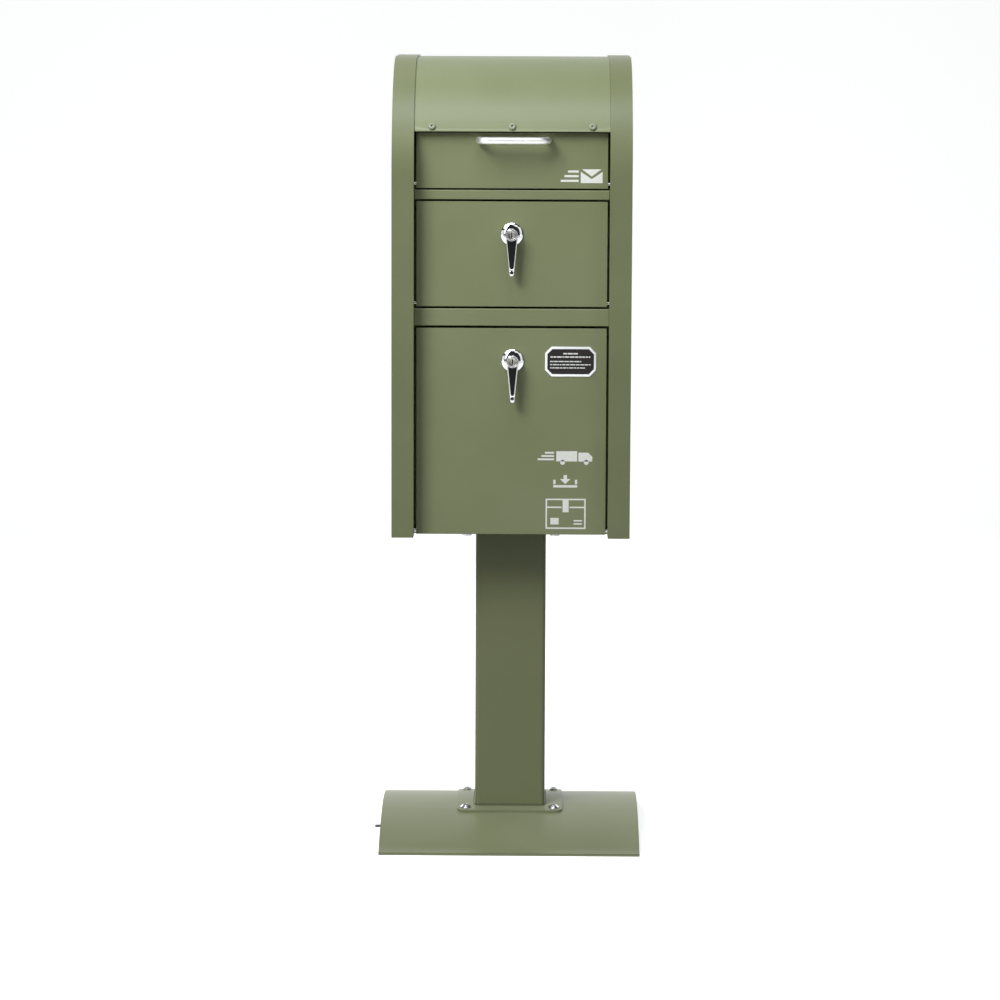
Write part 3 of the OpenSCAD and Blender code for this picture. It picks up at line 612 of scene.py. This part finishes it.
rows = [(octagon(0), 0.05), (octagon(0), 0.7), (octagon(0.12), 0.9), (octagon(0.35), 1.0), (octagon(3.1), 1.0),
        (octagon(3.3), 0.85), (octagon(w - 25), 0.85)]
piece("notice_plate_frame", [stacked(rows, mid)], finishes["plate_face"], "parcel_door",
      ["notice_plate"], 25)
piece("notice_plate_field", [stacked([(octagon(3.2), 0.8), (octagon(3.2), 0.9)], mid)], plate_ink, "parcel_door",
      (), 30)
dashes = []
rng = np.random.default_rng(7)
for z, x0, x1, tall in ((11.3, -10.5, 10.5, 1.9), (6.6, -28.5, 27.5, 1.9), (0.2, -29.0, 15.0, 1.5),
                        (-4.3, -29.0, 28.0, 1.5), (-8.8, -29.0, 22.0, 1.5)):
    x = x0
    while x < x1 - 1:
        long = min(rng.uniform(2.2, 7.5), x1 - x)
        bar = rounded_box(long / 2, tall / 2, 0.12) + [x + long / 2, z]
        dashes.append(stacked([(bar, 0.88), (bar, 0.93)], mid))
        x += long + 0.9
piece("notice_plate_bars", dashes, white_ink, "parcel_door", (), 30)

# ---------------------------------------------------------------- printed pictograms


def printed(name, node, body, shapes):
    """White ink 0.08 mm thick: each shape is a list of corners, in millimetres from the lower right
    corner of its door's face."""
    lo, hi = corner(node)
    at = np.array([hi[0], face_y, lo[2]])
    films = [stacked([(np.array(s, float), 0.0), (np.array(s, float), 0.08)], at) for s in shapes]
    piece(name, films, white_ink, body, (), 30)


def block(x0, z0, x1, z1):
    """Rectangle's corners."""
    return [[x0, z0], [x1, z0], [x1, z1], [x0, z1]]


def disc(x, z, r, n=28):
    """Circle's corners."""
    t = np.linspace(0, 2 * np.pi, n, endpoint=False)
    return np.stack([x + r * np.cos(t), z + r * np.sin(t)], 1)


# an envelope with three dashes of haste behind it
printed("letter_mark", "letter_flap_panel", "letter_flap", [
    [[-38, 7.8], [-7.5, 7.8], [-7.5, 23.6], [-22.75, 13.4], [-38, 23.6]],
    [[-36.4, 27.1], [-22.75, 17.0], [-9.1, 27.1]],
    block(-66.1, 9.4, -41, 12.4), block(-61, 15.9, -41, 18.9), block(-56, 22.4, -41, 25.4)])
# a van driving to the right, with its dashes
printed("van_mark", "parcel_door_panel", "parcel_door", [
    block(-70, 104.6, -40.5, 119.2), [[-38.7, 104.6], [-19.1, 104.6], [-19.1, 111.2], [-25, 117.2], [-38.7, 117.2]],
    disc(-61, 103.2, 3.4), disc(-27.6, 103.2, 3.4),
    block(-96.3, 106.2, -73, 108.8), block(-91, 110.9, -73, 113.5), block(-86, 115.6, -73, 118.2)])
# an arrow dropping into a tray
printed("drop_mark", "parcel_door_panel", "parcel_door", [
    block(-74, 67.4, -40.2, 70.8), block(-74, 72.0, -70.8, 78.5), block(-43.4, 72.0, -40.2, 78.5),
    [[-57.1, 72.4], [-49.6, 79.6], [-54.7, 79.6], [-54.7, 85.2], [-59.5, 85.2], [-59.5, 79.6], [-64.6, 79.6]]])
# a carton seen from the front: outline, tape and label
c0, c1, b0, b1, line = -84.7, -27.9, 8.2, 51.5, 2.2
printed("carton_mark", "parcel_door_panel", "parcel_door", [
    block(c0, b0, c1, b0 + line), block(c0, b1 - line, c1, b1), block(c0, b0 + line, c0 + line, b1 - line),
    block(c1 - line, b0 + line, c1, b1 - line), block(c0 + line, 38.0, -62, 38.0 + line),
    block(-50.6, 38.0, c1 - line, 38.0 + line), block(-60.6, 32.0, -52.0, b1 - line),
    block(-45, 14.5, -33, 16.5), block(-45, 19.0, -33, 21.0), block(-78, 14.5, -66, 24.0)])

for node in frame["nodes"]:
    if not frame["nodes"][node].hide_render:
        data = frame["nodes"][node].data
        data.materials.clear()
        data.materials.append(finishes[slot_of_node[node]])

# ---------------------------------------------------------------- stage, camera, light

floor_white = finish_of("matt white sweep, lit from within", Base_Color=srgb("#F4F4F2"), Roughness=0.9,
                        Emission_Color=(1, 1, 1, 1), Emission_Strength=0.62)[0]
s = np.linspace(0, 1, 40)
run = np.concatenate([np.stack([-6 + 8.5 * s, 0 * s], 1),
                      np.stack([2.5 + 1.2 * np.sin(s * np.pi / 2), 1.2 - 1.2 * np.cos(s * np.pi / 2)], 1)[1:],
                      np.stack([3.7 + 0 * s, 1.2 + 4.5 * s], 1)[1:]])
x = np.linspace(-7, 7, 3)
P = np.stack(np.broadcast_arrays(x[:, None], run[None, :, 0], run[None, :, 1]), -1)
v, f = grid(P)
mesh = bpy.data.meshes.new("sweep")
mesh.from_pydata(v.tolist(), [], f)
mesh.materials.append(floor_white)
mesh.shade_smooth()
sweep = bpy.data.objects.new("sweep", mesh)
scene.collection.objects.link(sweep)
sweep.visible_diffuse = False  # a white cove that gives back no light, as black flags would keep it

cam = bpy.data.objects.new("camera", bpy.data.cameras.new("camera"))
scene.collection.objects.link(cam)
yaw, pitch, roll = np.radians([0.557, 7.475, 0.23])
turn = np.array([[math.cos(yaw), -math.sin(yaw), 0], [math.sin(yaw), math.cos(yaw), 0], [0, 0, 1]])
tip = np.array([[1, 0, 0], [0, math.cos(pitch), math.sin(pitch)], [0, -math.sin(pitch), math.cos(pitch)]])
right, ahead, up = (turn @ tip).T
right, up = math.cos(roll) * right + math.sin(roll) * up, math.cos(roll) * up - math.sin(roll) * right
m = Matrix(np.column_stack([right, up, -ahead]).tolist()).to_4x4()
m.translation = (0.0343, -5.2314, 1.2270)
cam.matrix_world = m
cam.data.lens, cam.data.sensor_width, cam.data.shift_y = 131.42, 36, -0.040
cam.data.clip_start, cam.data.clip_end = 0.1, 100
scene.camera = cam


def softbox(name, at, look, size, power, colour="#FFFFFF"):
    """A rectangular area light at a place, facing a point."""
    light = bpy.data.lights.new(name, "AREA")
    light.shape, light.size, light.size_y, light.energy = "RECTANGLE", size[0], size[1], power
    light.color = srgb(colour)[:3]
    o = bpy.data.objects.new(name, light)
    scene.collection.objects.link(o)
    d = np.array(look, float) - np.array(at, float)
    z = -d / np.linalg.norm(d)
    x = np.cross([0, 0, 1], z) if abs(z[2]) < 0.98 else np.array([1.0, 0, 0])
    x /= np.linalg.norm(x)
    w = Matrix(np.column_stack([x, np.cross(z, x), z]).tolist()).to_4x4()
    w.translation = at
    o.matrix_world = w
    o.visible_camera = False


softbox("overhead", (-0.3, -1.0, 3.0), (0, 0, 0.8), (1.6, 1.0), 34, "#E6EEFF")
softbox("key from the left", (-1.4, -1.8, 2.7), (0, 0, 0.8), (1.2, 1.2), 68)
softbox("low left", (-1.6, -3.2, 1.5), (0, 0, 0.8), (1.0, 1.6), 8)
softbox("left card", (-2.0, -1.5, 0.9), (0, 0, 0.9), (1.2, 1.4), 5)
softbox("right card", (1.8, -1.8, 1.4), (0, 0, 0.9), (1.2, 2.2), 8)
softbox("upper right card", (0.9, -1.9, 2.6), (0, 0, 0.9), (1.0, 0.8), 3)
softbox("rear left", (-1.7, 2.1, 0.9), (0, 0, 0.7), (1.2, 1.6), 36)
softbox("rear right", (1.7, 2.1, 0.9), (0, 0, 0.7), (1.2, 1.6), 26)
softbox("sweep wash", (0, 1.6, 3.6), (0, 3.4, 0.6), (4.0, 0.8), 14)
world = bpy.data.worlds.new("studio")
world.use_nodes = True
world.node_tree.nodes["Background"].inputs["Color"].default_value = srgb("#FFFFFF")
world.node_tree.nodes["Background"].inputs["Strength"].default_value = 0.03
scene.world = world
scene.view_settings.view_transform = "Standard"
